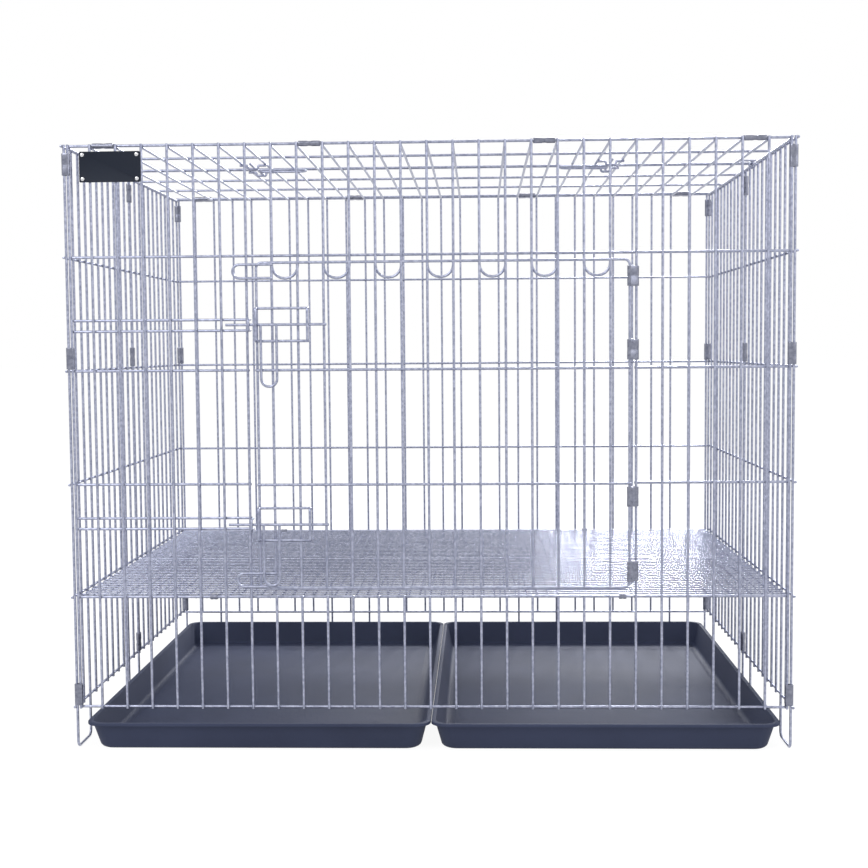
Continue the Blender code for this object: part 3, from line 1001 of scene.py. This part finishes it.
@dataclass
class SheetClips:
    """Pressed sheet clips that pair the hinge wires."""

    inner: float = 2.0
    sheet: float = 1.0
    turns: int = 24
    least_half: float = 1.0
    edge: float = 0.2
    sections: tuple[tuple[float, float], ...] = (
        (0.0, 0.97), (0.07, 1.0), (0.36, 1.0), (0.45, 0.84),
        (0.55, 0.84), (0.64, 1.0), (0.93, 1.0), (1.0, 0.97))

    def build(self, node: str, body: str) -> None:
        """Models one clip in the place of its solid.

        Args:
            node: The solid that it stands for.
            body: The body that it rides on.
        """
        low, high = (Vector(corner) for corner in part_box(node))
        spots = [vert.co.copy() for vert in frame["nodes"][node].data.vertices]
        centre = sum(spots, Vector()) / len(spots)
        axis = 0 if node.startswith(("top_", "floor_")) else 2
        along = Vector((0.0, 0.0, 0.0))
        along[axis] = 1.0
        spread = self.span(spots, centre, [n for n in range(3) if n != axis])
        reach = max(abs((spot - centre).dot(spread)) for spot in spots)
        radius = (self.inner + self.sheet / 2) * MM
        half = max(reach - radius - self.sheet / 2 * MM, self.least_half * MM)
        length = high[axis] - low[axis]
        clip = self.shell(radius, half, length)
        turn = Matrix((spread, along.cross(spread), along)).transposed().to_4x4()
        clip.data.transform(Matrix.Translation(centre - along * length / 2) @ turn)
        Bench.smooth(clip, node + "_sheet", 40)
        Dress.piece(clip, node, body, "clip", CLIP)

    def shell(self, radius: float, half: float, length: float) -> Item:
        """Models a clip's flattened tube, upright on the ground at the origin.

        Args:
            radius: Radius of the middle of its sheet, in metres.
            half: Half the distance between its two wires, in metres.
            length: Its length in metres.

        Returns:
            The clip.
        """
        Bench.drop_selection()
        bpy.ops.mesh.primitive_circle_add(vertices=self.turns, radius=radius,
                                          rotation=(0, 0, math.pi / self.turns))
        clip = Bench.settle(bpy.context.object)
        bpy.ops.object.mode_set(mode="EDIT")
        for side in (1, -1):
            Bench.pick(clip, "VERT", lambda vert, way=side: vert.co.x * way > 0)
            bpy.ops.transform.translate(value=(side * half, 0, 0))
        bpy.ops.mesh.select_all(action="SELECT")
        place, wide = 0.0, 1.0
        for place_next, wide_next in self.sections:
            if place_next > place:
                step = (0, 0, length * (place_next - place))
                bpy.ops.mesh.extrude_region_move(TRANSFORM_OT_translate={"value": step})
            bpy.ops.transform.resize(value=(1, wide_next / wide, 1), center_override=(0, 0, 0))
            place, wide = place_next, wide_next
        bpy.ops.object.mode_set(mode="OBJECT")
        Bench.form(clip, self.sheet, self.edge, 2, 60)
        return clip

    @staticmethod
    def span(spots: Sequence[Vector], centre: Vector, axes: Sequence[int]) -> Vector:
        """Direction from one of a clip's two wires to the other.

        Args:
            spots: The corners of the clip's solid.
            centre: Their middle.
            axes: The two axes across the clip.

        Returns:
            A unit vector in the plane of those axes.
        """
        flat = [[(spot - centre)[axis] for axis in axes] for spot in spots]
        wide = sum(a * a - b * b for a, b in flat)
        slant = 2 * sum(a * b for a, b in flat)
        angle = 0.5 * math.atan2(slant, wide)
        out = Vector((0.0, 0.0, 0.0))
        out[axes[0]] = math.cos(angle)
        out[axes[1]] = math.sin(angle)
        return out

    def build_all(self) -> None:
        """Models every clip and ring that the record names."""
        for body, facts in frame["record"]["behaviour"]["bodies"].items():
            for node in facts:
                if "_clip" in node or "_ring" in node:
                    self.build(node, body)


@dataclass
class Trays:
    """The two waste trays."""

    lip: float = 4.0
    lip_drop: float = 2.6
    slope: float = 8.0
    sheet: float = 1.6
    edge: float = 0.5
    corner: float = 16.0
    cove: float = 4.0
    floor_edge: float = 5.0
    floor_step: float = 2.0
    floor_rise: float = 1.2
    spread: float = 0.6

    def build(self, side: Side) -> None:
        """Models one tray over its solid's box, its rim a little wider.

        Args:
            side: Left or right tray.
        """
        node = "tray_" + side.word
        low, high = (Vector(corner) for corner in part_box(node))
        size, middle = high - low, (low + high) / 2
        wide, long = size.x - 2 * self.lip * MM, size.y - 2 * self.lip * MM
        base = low.z + self.sheet * MM
        heart = Vector((middle.x, middle.y, (base + high.z) / 2))
        tray = Bench.block(heart, (wide, long, high.z - base))
        above = Bench.beyond(2, heart.z)
        bpy.ops.object.mode_set(mode="EDIT")
        Bench.pick(tray, "VERT", lambda vert: not above(vert))
        taper = 2 * self.slope * MM
        bpy.ops.transform.resize(value=((wide - taper) / wide, (long - taper) / long, 1),
                                 center_override=middle)
        Bench.pick(tray, "EDGE", lambda edge: above(edge.verts[0]) != above(edge.verts[1]))
        bpy.ops.mesh.bevel(offset=self.corner * MM, segments=7, affect="EDGES")
        Bench.pick(tray, "FACE", lambda face: all(map(above, face.verts)))
        bpy.ops.mesh.delete(type="FACE")
        Bench.pick(tray, "FACE", lambda face: not any(map(above, face.verts)))
        bpy.ops.mesh.bevel(offset=self.cove * MM, segments=4, affect="EDGES")
        # The tray's floor is now the one face with many corners.
        Bench.pick(tray, "FACE", lambda face: len(face.verts) > 6)
        for margin in (self.floor_edge, self.floor_step):
            bpy.ops.mesh.inset(thickness=margin * MM, depth=0)
        bpy.ops.transform.translate(value=(0, 0, self.floor_rise * MM))
        bpy.ops.mesh.select_mode(type="EDGE")
        bpy.ops.mesh.select_all(action="DESELECT")
        bpy.ops.mesh.select_non_manifold(extend=False)
        lip = 2 * (self.lip - self.sheet / 2 + self.spread) * MM
        bpy.ops.mesh.extrude_region_move(TRANSFORM_OT_translate={"value": (0, 0, 0)})
        bpy.ops.transform.resize(value=((wide + lip) / wide, (long + lip) / long, 1),
                                 center_override=middle)
        turned_down = {"value": (0, 0, -self.lip_drop * MM)}
        bpy.ops.mesh.extrude_region_move(TRANSFORM_OT_translate=turned_down)
        bpy.ops.mesh.select_all(action="SELECT")
        bpy.ops.mesh.normals_make_consistent(inside=False)
        bpy.ops.object.mode_set(mode="OBJECT")
        Bench.form(tray, self.sheet, self.edge, 2, 40)
        sunk = low.z - min(vert.co.z for vert in tray.data.vertices)
        tray.data.transform(Matrix.Translation((0, 0, sunk)))
        Bench.smooth(tray, node + "_shell", 35)
        Dress.piece(tray, node, node, "tray", TRAY)


@dataclass
class NamePlate:
    """The bare plate and its rivets."""

    edge: float = 0.3
    corner: float = 1.2
    border: float = 1.1
    step: float = 0.3
    sunk: float = 0.15
    rivets: int = 4
    rivet_cap: float = 0.8
    shank: float = 1.0
    shank_ends: tuple[float, float] = (0.6, 0.5)

    def build_plate(self) -> None:
        """Models the plate over its solid's box."""
        low, high = (Vector(corner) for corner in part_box("name_plate"))
        middle = (low + high) / 2
        plate = Bench.block(middle, high - low)
        behind = Bench.beyond(1, middle.y)
        bpy.ops.object.mode_set(mode="EDIT")
        Bench.pick(plate, "EDGE", lambda edge: behind(edge.verts[0]) != behind(edge.verts[1]))
        bpy.ops.mesh.bevel(offset=self.corner * MM, segments=4, affect="EDGES")
        Bench.pick(plate, "FACE", lambda face: not any(map(behind, face.verts)))
        for margin in (self.border, self.step):
            bpy.ops.mesh.inset(thickness=margin * MM, depth=0)
        bpy.ops.transform.translate(value=(0, self.sunk * MM, 0))
        bpy.ops.object.mode_set(mode="OBJECT")
        Bench.form(plate, 0, self.edge, 3, 60)
        Bench.smooth(plate, "name_plate_sheet", 40)
        Dress.piece(plate, "name_plate", "cage_front", "plate", PLATE)

    def build_rivet(self, number: int) -> None:
        """Models one rivet: a domed head, its shank and the clenched tail.

        Args:
            number: The rivet's number.
        """
        node = f"plate_rivet_{number}"
        low, high = (Vector(corner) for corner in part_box(node))
        middle = (low + high) / 2
        reach = (high.x - low.x) / 2
        cap = self.rivet_cap * MM
        brow = Vector((middle.x, low.y + cap, middle.z))
        Bench.drop_selection()
        bpy.ops.mesh.primitive_uv_sphere_add(segments=24, ring_count=12, radius=reach,
                                             rotation=(math.pi / 2, 0, 0), location=brow)
        head = Bench.settle(bpy.context.object)
        bpy.ops.object.mode_set(mode="EDIT")
        bpy.ops.mesh.select_all(action="SELECT")
        bpy.ops.mesh.bisect(plane_co=brow, plane_no=(0, 1, 0), use_fill=True, clear_outer=True)
        bpy.ops.mesh.select_all(action="SELECT")
        bpy.ops.transform.resize(value=(1, cap / reach, 1), center_override=brow)
        bpy.ops.object.mode_set(mode="OBJECT")
        parts = [head]
        into, short = (part * MM for part in self.shank_ends)
        for radius, start, end in ((self.shank * MM, low.y + into, high.y - short),
                                   (reach, high.y - cap, high.y)):
            Bench.drop_selection()
            bpy.ops.mesh.primitive_cylinder_add(vertices=24, radius=radius, depth=end - start,
                                                rotation=(math.pi / 2, 0, 0),
                                                location=(middle.x, (start + end) / 2, middle.z))
            parts.append(Bench.settle(bpy.context.object))
        rivet = Bench.join(node + "_steel", parts)
        Dress.piece(rivet, node, "cage_front", "rivet", RIVET)


@dataclass
class Studio:
    """Camera, floor and light."""

    eye: Spot = (57.625, -1759.908, 449.228)
    yaw: float = -0.0348100
    pitch: float = -0.0639586
    roll: float = -0.0078667
    focal: float = 1345.521
    frame_px: float = 868.0
    sensor: float = 36.0
    far: float = 60.0
    paper: Tint = (0.82, 0.82, 0.83)
    glow: float = 1.08
    glow_share: float = 0.86
    ambient: float = 0.62
    aim: Spot = (0, 0, 0.3)
    lamps: tuple[tuple[str, Spot, float, float], ...] = (
        ("key", (-1.6, -2.2, 2.4), 46.0, 1.6),
        ("fill", (2.2, -1.6, 1.6), 22.0, 1.8),
        ("rear", (0.6, 2.6, 2.2), 26.0, 2.0),
        ("window", (0.56, 2.4, 1.7), 70.0, 0.5))

    def camera(self) -> None:
        """Sets the camera that was fitted to the photograph."""
        lens = bpy.data.cameras.new("photo_camera")
        lens.sensor_width = self.sensor
        lens.lens = self.focal / self.frame_px * self.sensor
        lens.clip_end = self.far
        holder = bpy.data.objects.new("photo_camera", lens)
        bpy.context.scene.collection.objects.link(holder)
        heading = Matrix.Rotation(-self.yaw, 4, "Z")
        tilt = Matrix.Rotation(math.pi / 2 + self.pitch, 4, "X")
        twist = Matrix.Rotation(self.roll, 4, "Z")
        holder.matrix_world = Matrix.Translation(at(*self.eye)) @ heading @ tilt @ twist
        bpy.context.scene.camera = holder

    @staticmethod
    def seen_by(tree: bpy.types.NodeTree, *rays: str) -> bpy.types.NodeSocket:
        """Finds out whether a ray is of one of several kinds.

        Args:
            tree: The node tree.
            *rays: Outputs of the light path node.

        Returns:
            A socket that is 1 for such a ray, and else 0.
        """
        path = wired(tree, "LightPath", {})
        seen = path.outputs[rays[0]]
        for ray in rays[1:]:
            both = {0: seen, 1: path.outputs[ray]}
            seen = wired(tree, "Math", both, operation="MAXIMUM").outputs[0]
        return seen

    def floor(self) -> None:
        """Lays a pale floor that shows white and keeps part of the cage's shadow."""
        Bench.drop_selection()
        bpy.ops.mesh.primitive_plane_add(size=40.0, location=(0, 12, -0.0002))
        ground = bpy.context.object
        ground.name = "studio_floor"
        paper = bpy.data.materials.new("paper_floor")
        paper.use_nodes = True
        tree = paper.node_tree
        shader = tree.nodes["Principled BSDF"]
        wired(tree, shader, {"Base Color": (*self.paper, 1), "Roughness": 0.9})
        glow = wired(tree, "Emission", {"Color": (1, 1, 1, 1), "Strength": self.glow})
        seen = self.seen_by(tree, "Is Camera Ray", "Is Glossy Ray")
        share = wired(tree, "Math", {0: seen, 1: self.glow_share}, operation="MULTIPLY")
        blend = wired(tree, "MixShader", {
            "Fac": share.outputs[0], 1: shader.outputs["BSDF"], 2: glow.outputs["Emission"]})
        wired(tree, tree.nodes["Material Output"], {"Surface": blend.outputs["Shader"]})
        ground.data.materials.append(paper)

    def lights(self) -> None:
        """Sets a soft white studio round the cage."""
        world = bpy.data.worlds.new("studio")
        bpy.context.scene.world = world
        world.use_nodes = True
        tree = world.node_tree
        seen = self.seen_by(tree, "Is Camera Ray", "Is Transmission Ray", "Is Glossy Ray")
        level = wired(tree, "MapRange", {
            "Value": seen, "To Min": self.ambient, "To Max": 1.0})
        wired(tree, tree.nodes["Background"], {
            "Color": (1, 1, 1, 1), "Strength": level.outputs["Result"]})
        for name, place, power, wide in self.lamps:
            lamp = bpy.data.lights.new(name, "AREA")
            lamp.energy = power
            lamp.size = wide
            holder = bpy.data.objects.new(name, lamp)
            holder.location = place
            aim = Vector(self.aim) - Vector(place)
            holder.rotation_euler = aim.to_track_quat("-Z", "Y").to_euler()
            bpy.context.scene.collection.objects.link(holder)
        bpy.context.scene.view_settings.view_transform = "Standard"


def main() -> None:
    """Builds every sub-assembly."""
    logging.basicConfig(level=logging.INFO, format="%(name)s: %(message)s")
    studio = Studio()
    studio.camera()
    studio.floor()
    studio.lights()
    panels = EndPanels()
    panels.build_front()
    panels.build_back()
    for side in Side:
        for half in Half:
            SidePanels().build(side, half)
    lids = Lids()
    for half in Half:
        lids.build(half)
        FloorNets().build(half)
    Door().build()
    Bolts().build_all(lids)
    for side in Side:
        SideHooks().build(side, lids)
        Trays().build(side)
    SheetClips().build_all()
    plate = NamePlate()
    plate.build_plate()
    for number in range(1, plate.rivets + 1):
        plate.build_rivet(number)


if __name__ == "__main__":
    main()
